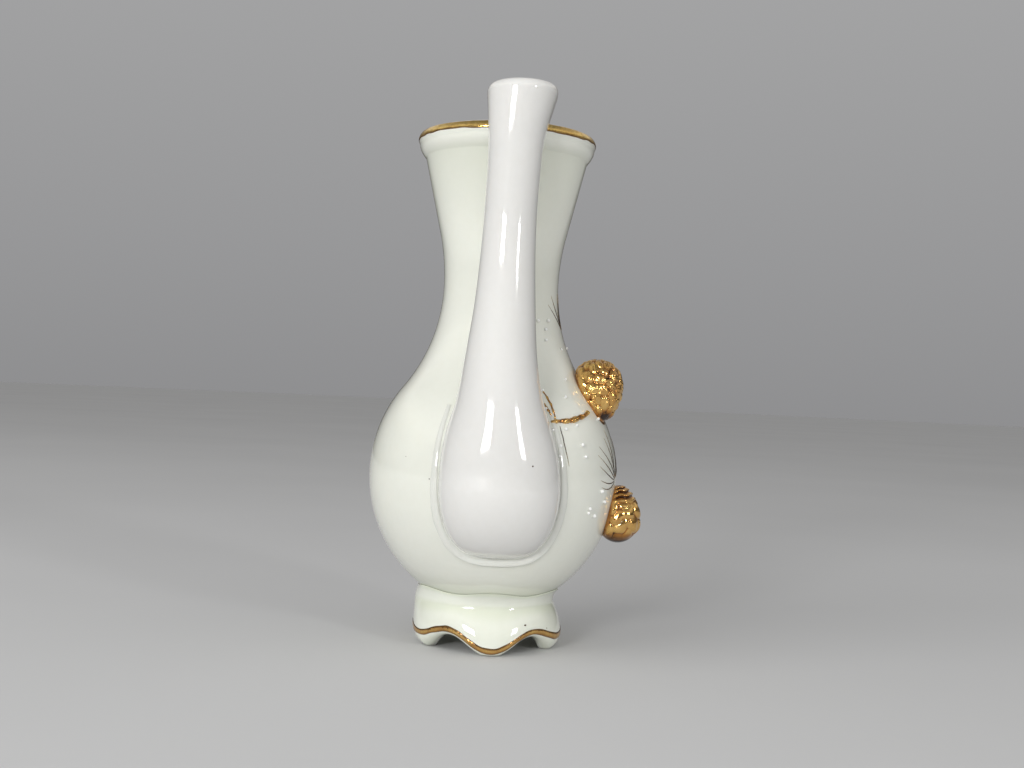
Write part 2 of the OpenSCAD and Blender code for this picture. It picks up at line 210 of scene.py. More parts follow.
def capped(rings, start=0):
    """A closed skin over rings: (vertices, faces). Rings run counter-clockwise seen from above."""
    rings = np.asarray(rings)
    m, n = rings.shape[:2]
    verts = np.concatenate([rings.reshape(-1, 3), [rings[0].mean(0)], [rings[-1].mean(0)]])
    faces = grid_faces(m, n, start=start)
    a, b = m * n + start, m * n + 1 + start
    for j in range(n):
        faces.append([start + (j + 1) % n, start + j, a])
        faces.append([start + (m - 1) * n + j, start + (m - 1) * n + (j + 1) % n, b])
    return verts, faces


def lathe(profile, steps=288):
    """A full turn of an (x, z) profile."""
    profile = np.asarray(profile)
    a = np.arange(steps) * 360 / steps
    x = profile[:, None, 0] * sin(a)
    y = -profile[:, None, 0] * cos(a)
    z = np.repeat(profile[:, None, 1], steps, 1)
    return np.stack([x, y, z], -1)


# ---------------------------------------------------------------- materials
def nodes_of(name):
    """A new material: (material, its node tree, its Principled node)."""
    m = bpy.data.materials.new(name)
    m.use_nodes = True
    t = m.node_tree
    t.nodes.clear()
    out = t.nodes.new("ShaderNodeOutputMaterial")
    b = t.nodes.new("ShaderNodeBsdfPrincipled")
    t.links.new(b.outputs["BSDF"], out.inputs["Surface"])
    return m, t, b


def link(t, a, b):
    t.links.new(a, b)


def coords(t):
    return t.nodes.new("ShaderNodeTexCoord").outputs["Object"]


def noise(t, vec, scale, detail=3.0, rough=0.5):
    n = t.nodes.new("ShaderNodeTexNoise")
    n.inputs["Scale"].default_value = scale
    n.inputs["Detail"].default_value = detail
    n.inputs["Roughness"].default_value = rough
    link(t, vec, n.inputs["Vector"])
    return n.outputs["Fac"]


def ramp(t, fac, stops):
    r = t.nodes.new("ShaderNodeValToRGB")
    e = r.color_ramp.elements
    while len(e) < len(stops):
        e.new(0.5)
    for el, (pos, col) in zip(e, stops):
        el.position = pos
        el.color = (*col, 1) if isinstance(col, tuple) else (col, col, col, 1)
    link(t, fac, r.inputs["Fac"])
    return r.outputs["Color"]


def mixed(t, fac, a, b, mode="MIX"):
    n = t.nodes.new("ShaderNodeMix")
    n.data_type = "RGBA"
    n.blend_type = mode
    # a Mix node has a factor and an A and B for each data type: 6 and 7 are the colours
    sockets = [n.inputs[0], n.inputs[6], n.inputs[7]]
    for sock, v in zip(sockets, (fac, a, b)):
        if isinstance(v, bpy.types.NodeSocket):
            link(t, v, sock)
        elif isinstance(v, tuple):
            sock.default_value = (*v, 1)
        else:
            sock.default_value = v
    return n.outputs[2]


def maths(t, op, a, b=0.0, clamp=False):
    n = t.nodes.new("ShaderNodeMath")
    n.operation = op
    n.use_clamp = clamp
    for sock, v in zip(n.inputs, (a, b)):
        if isinstance(v, bpy.types.NodeSocket):
            link(t, v, sock)
        else:
            sock.default_value = v
    return n.outputs[0]


def attribute(t, name):
    n = t.nodes.new("ShaderNodeAttribute")
    n.attribute_name = name
    return n.outputs["Fac"]


def bump(t, b, layers):
    """Adds [(height socket, strength, distance)] one on another."""
    normal = None
    for height, strength, distance in layers:
        n = t.nodes.new("ShaderNodeBump")
        n.inputs["Strength"].default_value = strength
        n.inputs["Distance"].default_value = distance
        link(t, height, n.inputs["Height"])
        if normal:
            link(t, normal, n.inputs["Normal"])
        normal = n.outputs["Normal"]
    link(t, normal, b.inputs["Normal"])
    return normal


def glaze(name, light, dark, glaze_pool_and_shade, seed=0.0):
    """Clear gloss over white porcelain: light and dark are its cloudy tints, and the third tint is laid
    where the mask attribute asks:
    glaze run thick in creases, and painted shade in the creases, low on the belly, inside the vase and under
    the foot's edge."""
    m, t, b = nodes_of(name)
    vec = coords(t)
    cloud = ramp(t, noise(t, vec, 22 + seed, 4, 0.55), [(0.35, 0.0), (0.68, 1.0)])
    base = mixed(t, cloud, dark, light)
    fine = ramp(t, noise(t, vec, 420, 2, 0.5), [(0.3, (0.985, 0.985, 0.98)), (0.7, (1.0, 1.0, 1.0))])
    base = mixed(t, 1.0, base, fine, "MULTIPLY")
    # the mask of pooled glaze and painted shade
    thick = maths(t, "MULTIPLY", attribute(t, "glaze_pool_and_shade"), 1.0, True)
    base = mixed(t, thick, base, glaze_pool_and_shade)
    # a few pinholes and iron specks
    cell = t.nodes.new("ShaderNodeTexVoronoi")
    cell.inputs["Scale"].default_value = 90
    link(t, vec, cell.inputs["Vector"])
    dot = maths(t, "LESS_THAN", cell.outputs["Distance"], 0.035)
    pick = maths(t, "GREATER_THAN", noise(t, vec, 33, 1), 0.62)
    speck = maths(t, "MULTIPLY", dot, pick)
    base = mixed(t, maths(t, "MULTIPLY", speck, 0.55), base, (0.30, 0.24, 0.17))
    link(t, base, b.inputs["Base Color"])
    link(
        t,
        ramp(t, noise(t, vec, 65, 3), [(0.3, 0.045), (0.75, 0.10)]),
        b.inputs["Roughness"],
    )
    b.inputs["IOR"].default_value = 1.52
    b.inputs["Coat Weight"].default_value = 0.6
    b.inputs["Coat Roughness"].default_value = 0.03
    b.inputs["Coat IOR"].default_value = 1.5
    b.inputs["Subsurface Weight"].default_value = 0.12
    b.inputs["Subsurface Radius"].default_value = (0.004, 0.0035, 0.003)
    b.inputs["Subsurface Scale"].default_value = 1.0
    normal = bump(
        t,
        b,
        [
            (noise(t, vec, 38, 2, 0.4), 0.30, 0.0006),
            (noise(t, vec, 170, 2, 0.5), 0.10, 0.00015),
        ],
    )
    link(t, normal, b.inputs["Coat Normal"])
    return m


def gold(name, bright, mid, dark, wear_and_glints=0.35, grain=0.5):
    """Fired liquid gold, whose colour wanders in random patches that stand for wear and for painted glints.
    "hollow" is 1 in hollows, on undersides and at thin edges, where it turns brown: thin gold at the edges,
    painted shade in the hollows and on the undersides.
    """
    m, t, b = nodes_of(name)
    vec = coords(t)
    patch = noise(t, vec, 150, 5, 0.62)
    hollow = attribute(t, "hollow")
    # random patches of wear and painted glints, and the hollow mask: painted shade in hollows and on
    # undersides, thin gold at edges
    shade = maths(t, "ADD", maths(t, "MULTIPLY", patch, wear_and_glints), maths(t, "MULTIPLY", hollow, 0.95), True)
    base = ramp(t, shade, [(0.14, bright), (0.42, mid), (0.86, dark)])
    link(t, base, b.inputs["Base Color"])
    link(t, ramp(t, shade, [(0.1, 1.0), (0.95, 0.55)]), b.inputs["Metallic"])
    link(t, ramp(t, noise(t, vec, 420, 3), [(0.3, 0.04), (0.75, 0.18)]), b.inputs["Roughness"])
    b.inputs["Coat Weight"].default_value = 0.3
    b.inputs["Coat Roughness"].default_value = 0.08
    bump(
        t,
        b,
        [
            (noise(t, vec, 300, 3, 0.6), grain, 0.0004),
            (noise(t, vec, 1400, 2, 0.5), grain * 0.6, 0.00006),
        ],
    )
    return m


def needle_paint(name):
    """Dark brown overglaze paint, turning gold along its stroke."""
    m, t, b = nodes_of(name)
    vec = coords(t)
    patch = maths(t, "MULTIPLY", maths(t, "SUBTRACT", noise(t, vec, 260, 3), 0.5), 0.7)
    along = maths(t, "ADD", attribute(t, "stroke"), patch, True)
    base = ramp(
        t,
        along,
        [
            (0.02, (0.16, 0.09, 0.03)),
            (0.14, (0.045, 0.030, 0.020)),
            (0.55, (0.075, 0.050, 0.030)),
            (0.98, (0.46, 0.33, 0.17)),
        ],
    )
    link(t, base, b.inputs["Base Color"])
    link(t, ramp(t, along, [(0.4, 0.35), (0.95, 0.8)]), b.inputs["Metallic"])
    link(t, ramp(t, noise(t, vec, 700, 2), [(0.3, 0.16), (0.7, 0.38)]), b.inputs["Roughness"])
    b.inputs["Coat Weight"].default_value = 0.4
    bump(t, b, [(noise(t, vec, 900, 2), 0.4, 0.00005)])
    return m


# name, light tint, dark tint, tint of pooled glaze and of painted shade, shift of the cloud pattern
white_body = glaze("glaze_body", (0.80, 0.81, 0.725), (0.775, 0.785, 0.715), (0.66, 0.69, 0.57), 0)
white_foot = glaze("glaze_foot", (0.79, 0.81, 0.715), (0.765, 0.785, 0.695), (0.655, 0.695, 0.54), 3)
# the handles' glaze is the body's glaze set darker and greyer: painted shade for how the light falls on the
# handles
white_handle_shaded = glaze("glaze_handle_shaded", (0.745, 0.738, 0.712), (0.725, 0.718, 0.695), (0.62, 0.63, 0.56), 7)
white_luting = glaze("glaze_luting", (0.79, 0.79, 0.735), (0.765, 0.77, 0.715), (0.66, 0.68, 0.58), 11)
enamel = glaze("enamel_white", (0.97, 0.97, 0.95), (0.95, 0.95, 0.92), (0.88, 0.88, 0.84), 17)
# name, bright, middle and dark tints, share of the random patches of wear and painted glints, roughness of
# the ground
gold_line = gold("gold_line", (1.0, 0.76, 0.28), (0.78, 0.48, 0.13), (0.14, 0.06, 0.02), 0.60, 1.0)
gold_foot_line = gold("gold_foot_line", (1.0, 0.70, 0.24), (0.50, 0.27, 0.08), (0.09, 0.04, 0.015), 0.66, 1)
gold_lustre = gold("gold_lustre", (1.0, 0.66, 0.22), (0.50, 0.22, 0.05), (0.03, 0.012, 0.005), 0.50, 0.9)
brown_paint = needle_paint("needle_paint")


# ---------------------------------------------------------------- the handle's sizes
ROOT_LOW, ROOT_Z, ROOT_HALF, ROOT_PROUD, ROOT_SQUARE = 37.2, 62.0, 21.3, 12.4, 0.62
# [height, half width] up the strap
STRAP_HALF = [
    [62, ROOT_HALF], [72, 20.6], [82, 18.5], [93, 15.1], [108, 12.6], [128, 10.6],
    [152, 9.4], [174, 9.4], [186, 10.1], [HANDLE_TOP, 12.9],
]
# [height, distance of the outer face from the vase's axis]
STRAP_FACE = [
    [62, float(body_radius(62)) + ROOT_PROUD], [73, 59], [91, 56.8], [112, 52.7], [133, 49.5],
    [150, 48.3], [168, 49], [186, 50.5], [HANDLE_TOP, 52.1],
]
# [height, sideways bow]
STRAP_SHIFT = [
    [37, 0], [62, -0.4], [82, -1.1], [106, -1.7], [127, -1.1], [148, -0.7],
    [162, -0.4], [175, 0], [186, 0.4], [HANDLE_TOP, 2.2],
]
STRAP_BACK, BRIDGE_START, BRIDGE_FULL, TOP_SLOPE, TOP_ROUND = 4.0, 168.0, 188.0, 0.52, 3.5
STRAP_BOW, STRAP_TWIST = 1.0, 8.0


# ---------------------------------------------------------------- body
FAR = 99.0
ROOT_TOP = 92


def root_line_distance(points):
    """Rough distance in mm from a handle's root outline, for the pooled glaze and painted shade along the
    joint.
    """
    d = np.full(len(points), FAR)
    for turn in (1, -1):
        x, y = points[:, 0] * turn, points[:, 1] * turn
        z = points[:, 2]
        drop = np.clip(1 - ((ROOT_Z - z) / (ROOT_Z - ROOT_LOW)) ** 2, 0, 1)
        strap = np.interp(z, [s[0] for s in STRAP_HALF], [s[1] for s in STRAP_HALF])
        half = np.where(z < ROOT_Z, ROOT_HALF * np.sqrt(drop), strap)
        gap = np.where(y < 0, np.abs(np.abs(x) - half), FAR)
        gap = np.where((z > ROOT_LOW - 4) & (z < ROOT_TOP), gap, FAR)
        d = np.minimum(d, gap)
    return d


profile = np.concatenate(
    [
        [[0, BASE_Z], [6, BASE_Z]],
        wall_line(0, BASE_Z, LIP_BOTTOM),
        [[float(body_radius(z)), z] for z in np.linspace(LIP_BOTTOM, TAPER_Z, 14)[1:-1]],
        arc(LIP_R - LIP_BEAD, BEAD_Z, LIP_BEAD, -UNDERCUT_DEG, 200, 40),
        wall_line(WALL, BASE_Z + FLOOR, THROAT_Z)[::-1],
        [[6, BASE_Z + FLOOR], [0, BASE_Z + FLOOR]],
    ]
)
rings = lathe(profile[1:-1])
body_verts, body_faces = capped(rings)
body_verts[-2] = [0, 0, BASE_Z]
body_verts[-1] = [0, 0, BASE_Z + FLOOR]
# pooled glaze and painted shade along the handles' joints
glaze_pool_and_shade = 0.22 * smooth((4 - root_line_distance(body_verts)) / 4)
r_here = np.hypot(body_verts[:, 0], body_verts[:, 1])
# pooled glaze and painted shade in the crease under the lip
glaze_pool_and_shade += 0.45 * smooth((3 - np.abs(body_verts[:, 2] - LIP_BOTTOM)) / 3)
# painted shade low on the belly, just above the foot, and on the base
glaze_pool_and_shade += 0.7 * smooth((30 - body_verts[:, 2]) / 9)
# painted shade over the whole inside of the vase
glaze_pool_and_shade[r_here < body_radius(np.minimum(body_verts[:, 2], RIM_Z - 0.01)) - 1.5] = 0.25
new_object(
    "glazed_body",
    body_verts,
    body_faces,
    "body_shell",
    white_body,
    {"glaze_pool_and_shade": np.clip(glaze_pool_and_shade, 0, 1)},
)

# ---------------------------------------------------------------- foot
# [degrees from the handles' line, height] of the gilt edge and of the lowest edge
EDGE_WAVE = [[0, 2], [35, 8.6], [62, 5.7], [90, 6.7]]
HEM_WAVE = [[0, -0.6], [35, 6.2], [68, -0.5], [90, 2.4]]
FOOT_R, FOOT_WAIST, FOOT_WAIST_Z, COLLAR_Z, COLLAR_WAVE = 28.5, 25.0, 17.0, 21.9, 0.7
SCALLOPS, RIPPLE, HEM, BEVEL, HOLLOW = 6, 0.5, 1.8, 1.4, (18.6, 16.6)
BULGE = 2.6  # how much further the narrowest part stands out on the -X side
BAND, GILT = 2.1, 0.2  # width and thickness of the gilt line


def wave(k, a):
    """A rounded wave through [degrees, height] points."""
    i = 0
    while i < len(k) - 2 and a > k[i + 1][0]:
        i += 1
    t = min(max((a - k[i][0]) / (k[i + 1][0] - k[i][0]), 0), 1)
    return mix(k[i][1], k[i + 1][1], (1 - math.cos(math.pi * t)) / 2)


def fold(a):
    """Degrees from the nearer handle's middle, 0 to 90."""
    b = abs(a % 180)
    return min(b, 180 - b)


def edge_z(a):
    return wave(EDGE_WAVE, fold(a))


def hem_z(a):
    return max(wave(HEM_WAVE, fold(a)), 0)


def edge_r(a):
    return FOOT_R + RIPPLE * cos(SCALLOPS * a)


def hem_r(a):
    return edge_r(a) - min(5, 1.3 + 0.75 * (edge_z(a) - hem_z(a)))


def collar_z(a):
    return COLLAR_Z + COLLAR_WAVE * cos(SCALLOPS * a)


def waist_r(a):
    return FOOT_WAIST + BULGE * max(-sin(a), 0) ** 2


def foot_face(a, t):
    """[radius, height] of the foot's outer face: 0 upper edge, 1 narrowest, 2 gilt edge, 3 lowest."""
    if t < 1:
        r = mix(float(body_radius(collar_z(a))) + 0.6, waist_r(a), 1 - (1 - t) ** 2)
        return np.array([r, mix(collar_z(a), FOOT_WAIST_Z, t)])
    if t < 2:
        r = mix(waist_r(a), edge_r(a), sin(90 * (t - 1)) ** 1.2)
        return np.array([r, mix(FOOT_WAIST_Z, edge_z(a), t - 1)])
    r = mix(edge_r(a), hem_r(a), 1 - cos(90 * (t - 2)))
    return np.array([r, mix(edge_z(a), hem_z(a), sin(90 * (t - 2)))])


def turned(a, p):
    """[radius, height] turned to an azimuth."""
    return [p[0] * sin(a), -p[0] * cos(a), p[1]]


FACE_POINTS = 61
foot_rings, foot_pool_and_shade = [], []
for i in range(AROUND):
    a = i * 360 / AROUND
    line = [foot_face(a, t) for t in np.linspace(0, 3, FACE_POINTS)]
    # the upper edge is a soft lip of glaze, not a knife edge
    top = line[0]
    seat = float(body_radius(collar_z(a)))
    line[0] = np.array([seat + 0.42, top[1] + 0.02])
    hem = np.array([hem_r(a), hem_z(a)])
    # under the hem and up inside the hollow
    inner = hem + [-HEM - 1, BEVEL]
    line += [hem - [HEM * 0.3, 0], hem - [HEM, 0], hem + [-HEM - 0.5, BEVEL * 0.5], inner]
    mid = mix(hem + [-HEM - BEVEL, 2 * BEVEL], np.array(HOLLOW), 0.5)
    crown = np.array([float(body_radius(HOLLOW[1])) + SKIN, HOLLOW[1]])
    line += [mix(inner, mid, 0.5), mid, mix(mid, crown, 0.6)]
    for k in np.linspace(0, 1, 9):
        z = mix(HOLLOW[1], collar_z(a), k)
        line.append(np.array([float(body_radius(z)) + SKIN, z]))
    foot_rings.append([turned(a, p) for p in line])
    t_here = np.concatenate([np.linspace(0, 3, FACE_POINTS), np.full(len(line) - FACE_POINTS, 1.4)])
    # tint mask: pooled glaze and painted shade along the upper edge and round the narrowest part, and
    # painted shade turning under below the gilt line
    thick = smooth((0.35 - t_here) / 0.35) * 0.7
    thick += smooth((0.35 - np.abs(t_here - 1.1)) / 0.35) * 0.5
    thick += smooth((t_here - 2.3) / 0.5) * 0.25
    foot_pool_and_shade.append(np.clip(thick, 0, 1))
foot_rings = np.array(foot_rings)
foot_verts = foot_rings.reshape(-1, 3)
foot_faces = flipped(grid_faces(AROUND, foot_rings.shape[1], close_m=True))
new_object(
    "glazed_foot",
    foot_verts,
    foot_faces,
    "foot_skirt",
    white_foot,
    {"glaze_pool_and_shade": np.array(foot_pool_and_shade).ravel()},
)

# the gilt line painted round the foot's edge
band_rings, band_hollow = [], []
for i in range(AROUND):
    a = i * 360 / AROUND
    half = BAND / 2
    up = half / (FOOT_WAIST_Z - edge_z(a)) * (1 + 0.22 * wobble(a, 3))
    down = half / max(edge_z(a) - hem_z(a), 1.6) * 0.75 * (1 + 0.18 * wobble(a, 5))
    ts = [2 - up * k for k in (1, 0.93, 0.5, 0.15, 0)] + [2 + down * k for k in (0.35, 0.7, 0.95, 1)]
    skin = [foot_face(a, t) for t in ts]
    thick = [0.03, GILT * 0.7, GILT, GILT, GILT, GILT, GILT, GILT * 0.7, 0.03]
    line = [q + [g, 0] for q, g in zip(skin, thick)] + [q - [SKIN, 0] for q in skin[::-1]]
    band_rings.append([turned(a, p) for p in line])
    # thin and brown at both edges
    edge = np.array([1.0, 0.6, 0.15, 0.0, 0.0, 0.05, 0.2, 0.6, 1.0])
    band_hollow.append(np.concatenate([edge, edge[::-1]]))
band_rings = np.array(band_rings)
new_object(
    "gilt_foot_line",
    band_rings.reshape(-1, 3),
    flipped(grid_faces(AROUND, band_rings.shape[1], close_m=True)),
    "foot_gilding",
    gold_foot_line,
    {"hollow": np.array(band_hollow).ravel()},
)

# ---------------------------------------------------------------- the gilt line on the lip
def on_lip(b, lift):
    """[radius, height] on the lip's bead, at b degrees above its widest line."""
    r = LIP_BEAD + lift
    return [LIP_R - LIP_BEAD + r * cos(b), BEAD_Z + r * sin(b)]


rim_rings, rim_hollow = [], []
for i in range(AROUND):
    a = i * 360 / AROUND
    low = -6 + 6 * wobble(a, 11)
    high = 59 + 4 * wobble(a, 13)
    line, hollow = [], []
    for k in np.linspace(0, 1, 13):
        edge = min(k, 1 - k)
        g = 0.03 + (GILT - 0.03) * min(1, edge / 0.1)
        line.append(on_lip(mix(low, high, k), g))
        hollow.append(1 - smooth(edge / 0.16))
    for k in np.linspace(1, 0, 5):
        line.append(on_lip(mix(low, high, k), -0.05))
        hollow.append(1.0)
    rim_rings.append([turned(a, p) for p in line])
    rim_hollow.append(hollow)
rim_rings = np.array(rim_rings)
new_object(
    "gilt_rim_line",
    rim_rings.reshape(-1, 3),
    grid_faces(AROUND, rim_rings.shape[1], close_m=True),
    "rim_gilding",
    gold_line,
    {"hollow": np.array(rim_hollow).ravel()},
)


# ---------------------------------------------------------------- handles
def root_half(a):
    """Half width of the drop-shaped root, a degrees up from its lowest point."""
    return ROOT_HALF * sin(a) ** ROOT_SQUARE


def root_z(a):
    return mix(ROOT_Z, ROOT_LOW, cos(a))


def bow_at(z):
    return STRAP_BOW * hermite(STRAP_SHIFT, z)


def twist_at(z):
    return STRAP_TWIST * smooth((z - 75) / 50)


def handle_ring(z, half, face, inset=0.0, n=112):
    """The handle's section at a height: half width, outer face's distance, and inset for the rounded top."""
    body = float(body_radius(z))
    seat = math.sqrt(body * body - half * half) if half < body else 0
    front = min(1.03 * half, face - seat) - inset
    centre = face - inset - front
    bridge = smooth((z - BRIDGE_START) / (BRIDGE_FULL - BRIDGE_START))
    back = mix(STRAP_BACK, centre - (LIP_R - LIP_BEAD), bridge) - inset
    fall = TOP_SLOPE * smooth((z - BRIDGE_START - 4) / (HANDLE_TOP - BRIDGE_START - 4))
    a = np.arange(n) * 360 / n
    c, s = cos(a), sin(a)
    power = np.where(c > 0, 1.0, 0.8)
    x = (half - inset) * np.sign(s) * np.abs(s) ** power
    e = np.where(c > 0, front, back) * np.sign(c) * np.abs(c) ** power
    t = twist_at(z)
    return outside(
        np.stack(
            [
                x * cos(t) - e * sin(t) + bow_at(z),
                -centre - x * sin(t) - e * cos(t),
                z - fall * np.maximum(-e, 0),
            ],
            -1,
        )
    )


def handle_rings():
    """The whole handle: root, strap and rounded top."""
    rings = []
    for a in np.arange(6, 89, 2.5):
        z = root_z(a)
        face = float(body_radius(z)) + ROOT_PROUD * sin(a) ** 0.75
        rings.append(handle_ring(z, root_half(a), face))
    for z in np.arange(ROOT_Z, HANDLE_TOP - TOP_ROUND, 1.25):
        rings.append(handle_ring(z, hermite(STRAP_HALF, z), hermite(STRAP_FACE, z)))
    for a in np.arange(0, 91, 7.5):
        z = HANDLE_TOP - TOP_ROUND * (1 - sin(a))
        inset = min(TOP_ROUND * (1 - cos(a)), TOP_ROUND - 0.05)
        rings.append(handle_ring(z, hermite(STRAP_HALF, z), hermite(STRAP_FACE, z), inset))
    return np.array(rings)


strap_verts, strap_faces = capped(handle_rings())
strap_gap = np.hypot(strap_verts[:, 0], strap_verts[:, 1])
strap_gap -= body_radius(np.minimum(strap_verts[:, 2], RIM_Z - 0.01))
# pooled glaze and painted shade where the handle comes close to the body
strap_pool_and_shade = 0.35 * smooth((1.6 - strap_gap) / 1.6)
for side, turn in (("left", 1), ("right", -1)):
    new_object(
        f"glazed_{side}_handle",
        strap_verts * [turn, turn, 1],
        flipped(strap_faces),
        f"{side}_handle",
        white_handle_shaded,
        {"glaze_pool_and_shade": strap_pool_and_shade},
    )


# ---------------------------------------------------------------- ridges laid on the body
def ridge(path, w, h, facets=10, swell=None, ends=0.35, power=0.6):
    """A closed dome-shaped ridge along [azimuth, height] points, and how far along each point is."""
    path = np.asarray(path, float)
    m = len(path)
    centre = on_body(path[:, 0], path[:, 1], SKIN)
    tangent = np.gradient(centre, axis=0)
    tangent /= np.linalg.norm(tangent, axis=1)[:, None]
    out = np.stack([centre[:, 0], centre[:, 1], np.zeros(m)], -1)
    out /= np.linalg.norm(out, axis=1)[:, None]
    side = np.cross(tangent, out)
    side /= np.linalg.norm(side, axis=1)[:, None]
    up = np.cross(side, tangent)
    along = np.linspace(0, 1, m)
    taper = mix(ends, 1, np.maximum(sin(180 * np.clip(along, 0.02, 0.98)), 0) ** power)
    s = taper * (1 if swell is None else swell)
    a = 180 - 180 * np.arange(facets + 1) / facets
    top = centre[:, None] + side[:, None] * (w * s)[:, None, None] * cos(a)[None, :, None]
    top = top + up[:, None] * (h * s)[:, None, None] * sin(a)[None, :, None]
    under = centre[:, None] - up[:, None] * 0.08
    return np.concatenate([top, under], 1), np.repeat(along[:, None], facets + 2, 1)


def join_lofts(parts):
    """One mesh from several ring stacks: (vertices, faces, along)."""
    verts, faces, along = [], [], []
    start = 0
    for rings, t in parts:
        v, f = capped(rings, start)
        verts.append(v)
        faces += flipped(f)
        along.append(np.concatenate([t.ravel(), [t[0, 0], t[-1, 0]]]))
        start += len(v)
    return np.concatenate(verts), faces, np.concatenate(along)


def bent(a, b, bow, steps):
    """A path of [azimuth, height] points from a to b, bowed by that much at its middle."""
    t = np.linspace(0, 1, steps + 1)[:, None]
    return mix(np.array(a, float), np.array(b, float), t) + np.array(bow) * 4 * t * (1 - t)


# the bead of slip round each handle's root
LUTE_W, LUTE_H = 1.6, 0.62
side_line = []
for a in np.arange(0, 88, 2.5):
    x = (ROOT_HALF + LUTE_W) * sin(a) ** ROOT_SQUARE
    side_line.append([x, mix(ROOT_Z, ROOT_LOW - LUTE_W, cos(a))])
for z in np.arange(ROOT_Z, 90.5, 1):
    side_line.append([hermite(STRAP_HALF, z) + LUTE_W, z])
side_line = np.array(side_line)
outline = np.concatenate([side_line[:0:-1] * [-1, 1], side_line])
shifted = outline[:, 0] + np.array([bow_at(z) for z in outline[:, 1]])
lute_azimuth = np.degrees(np.arcsin(shifted / body_radius(outline[:, 1])))
path = np.stack([lute_azimuth, outline[:, 1]], -1)
k = np.arange(len(path))
uneven = 1 + 0.06 * wobble(k * 2.3, 21) + 0.05 * wobble(k * 5.1, 22)
lute_verts, lute_faces, _ = join_lofts([ridge(path, LUTE_W, LUTE_H, 14, uneven)])
for side, turn in (("left", 1), ("right", -1)):
    new_object(
        f"glazed_{side}_luting",
        lute_verts * [turn, turn, 1],
        lute_faces,
        f"{side}_handle_luting",
        white_luting,
        {"glaze_pool_and_shade": np.full(len(lute_verts), 0.15)},
    )

# ---------------------------------------------------------------- pine cones
def pine_cone(name, node, size, azimuth, z, lift, turn, pattern):
    """An egg of size (length, girth) set on the body and leaned by turn; t runs from end to end of
    it and a round it, and the pattern gives the relief and the hollows at each."""
    rows, sides = 260, 300
    out = np.array([sin(azimuth), -cos(azimuth), 0])
    along = np.array([cos(azimuth), sin(azimuth), 0])
    axis = np.array([0, 0, 1.0]) * cos(turn) + along * sin(turn)
    side = np.cross(axis, out)
    centre = on_body(azimuth, z, lift)
    t = np.linspace(3, 177, rows + 1)[:, None]
    a = (np.arange(sides) * 360 / sides)[None, :]
    relief, hollow = pattern(t, a)
    girth = size[1] / 2 * sin(t) * (1 - 0.14 * cos(t))
    base = centre - axis * (size[0] / 2 * cos(t))[..., None]
    ray = side * cos(a)[..., None] + out * sin(a)[..., None]
    plain = base + ray * girth[..., None]
    # the modelling fades where the cone's edge melts into the body
    clear = np.hypot(plain[..., 0], plain[..., 1]) - body_radius(plain[..., 2])
    fade = smooth((clear - 0.2) / 1.5)
    pts = plain + ray * (relief * fade)[..., None]
    pts = pts - axis * (0.35 * relief * fade * cos(t))[..., None]
    pts = outside(pts)
    verts, faces = capped(pts)
    # painted shade: the gold turns brown on the cone's underside, for the dark that it mirrors there
    under = 0.5 * smooth((axis[2] * cos(t) - ray[..., 2] * sin(t) - 0.5) / 0.45)
    hollow = np.clip(hollow * fade + 0.16 * (1 - fade) + under * fade, 0, 1)
    hollow = np.broadcast_to(hollow, pts.shape[:2])
    hollow = np.concatenate([hollow.ravel(), [0.4, 0.2]])
    return new_object(name, verts, faces, node, gold_lustre, {"hollow": hollow}, sharp=0)


def scales(t, a, around, rows, depth, slant=0.0, seed=1.0):
    """Overlapping scales in staggered, wavering rows: (relief in mm, hollow 0 to 1)."""
    v = rows * (0.35 * (0.5 - 0.5 * cos(t)) + 0.65 * t / 180)
    v = v + slant * sin(a + 20) + 0.22 * sin(3 * a + 2.1 * t + 40 * seed) + 0.12 * sin(7 * a - 5 * t)
    best = np.full(np.broadcast(t, a).shape, -9.0)
    row0 = np.floor(v)
    for dr in (-1, 0, 1):
        row = row0 + dr
        u = around * a / 360 + 0.5 * (row % 2) + 0.13 * sin(row * 97.0 + 60 * seed)
        for dc in (0, 1):
            col = np.floor(u) + dc
            key = np.sin((row % 64) * 12.9898 + (col % around) * 78.233 + seed) * 43758.5453
            rnd = key - np.floor(key)
            rnd2 = rnd * 7.31 - np.floor(rnd * 7.31)
            du = (u - col + 0.18 * (rnd - 0.5)) / (0.60 + 0.10 * rnd2)
            dv = (v - row - 0.5 + 0.16 * (rnd2 - 0.5)) / 0.78
            # a rounded shield that rises towards the cone's tip and then drops
            dome = 1 - du * du - dv * dv
            h = np.sign(dome) * np.sqrt(np.abs(dome)) * (0.80 + 0.40 * rnd) + 0.45 * dv
            best = np.maximum(best, np.where(dome > -0.6, h, -0.8))
    low = np.clip(best, -0.5, 1.3)
    return depth * (low - 0.62), 1 - smooth((low - 0.05) / 0.80)


def upper_pattern(t, a):
    """Coarse scales with finer ones on them, and a smooth lower end."""
    relief, hollow = scales(t, a, 13, 8.0, 1.5, 0.9)
    fine, _ = scales(t, a + 7, 37, 21.0, 0.30, 1.6, 2.0)
    mask = smooth((t - 30) / 16) * smooth((176 - t) / 10)
    # a smooth brown patch by the stalk: a painted dark reflection
    dark_reflection_patch = np.exp(-(((t - 32) / 13) ** 2) - ((a - 118) / 24) ** 2)
    return (relief + fine) * mask * (1 - dark_reflection_patch), hollow * mask + (1 - mask) * 0.15 + dark_reflection_patch


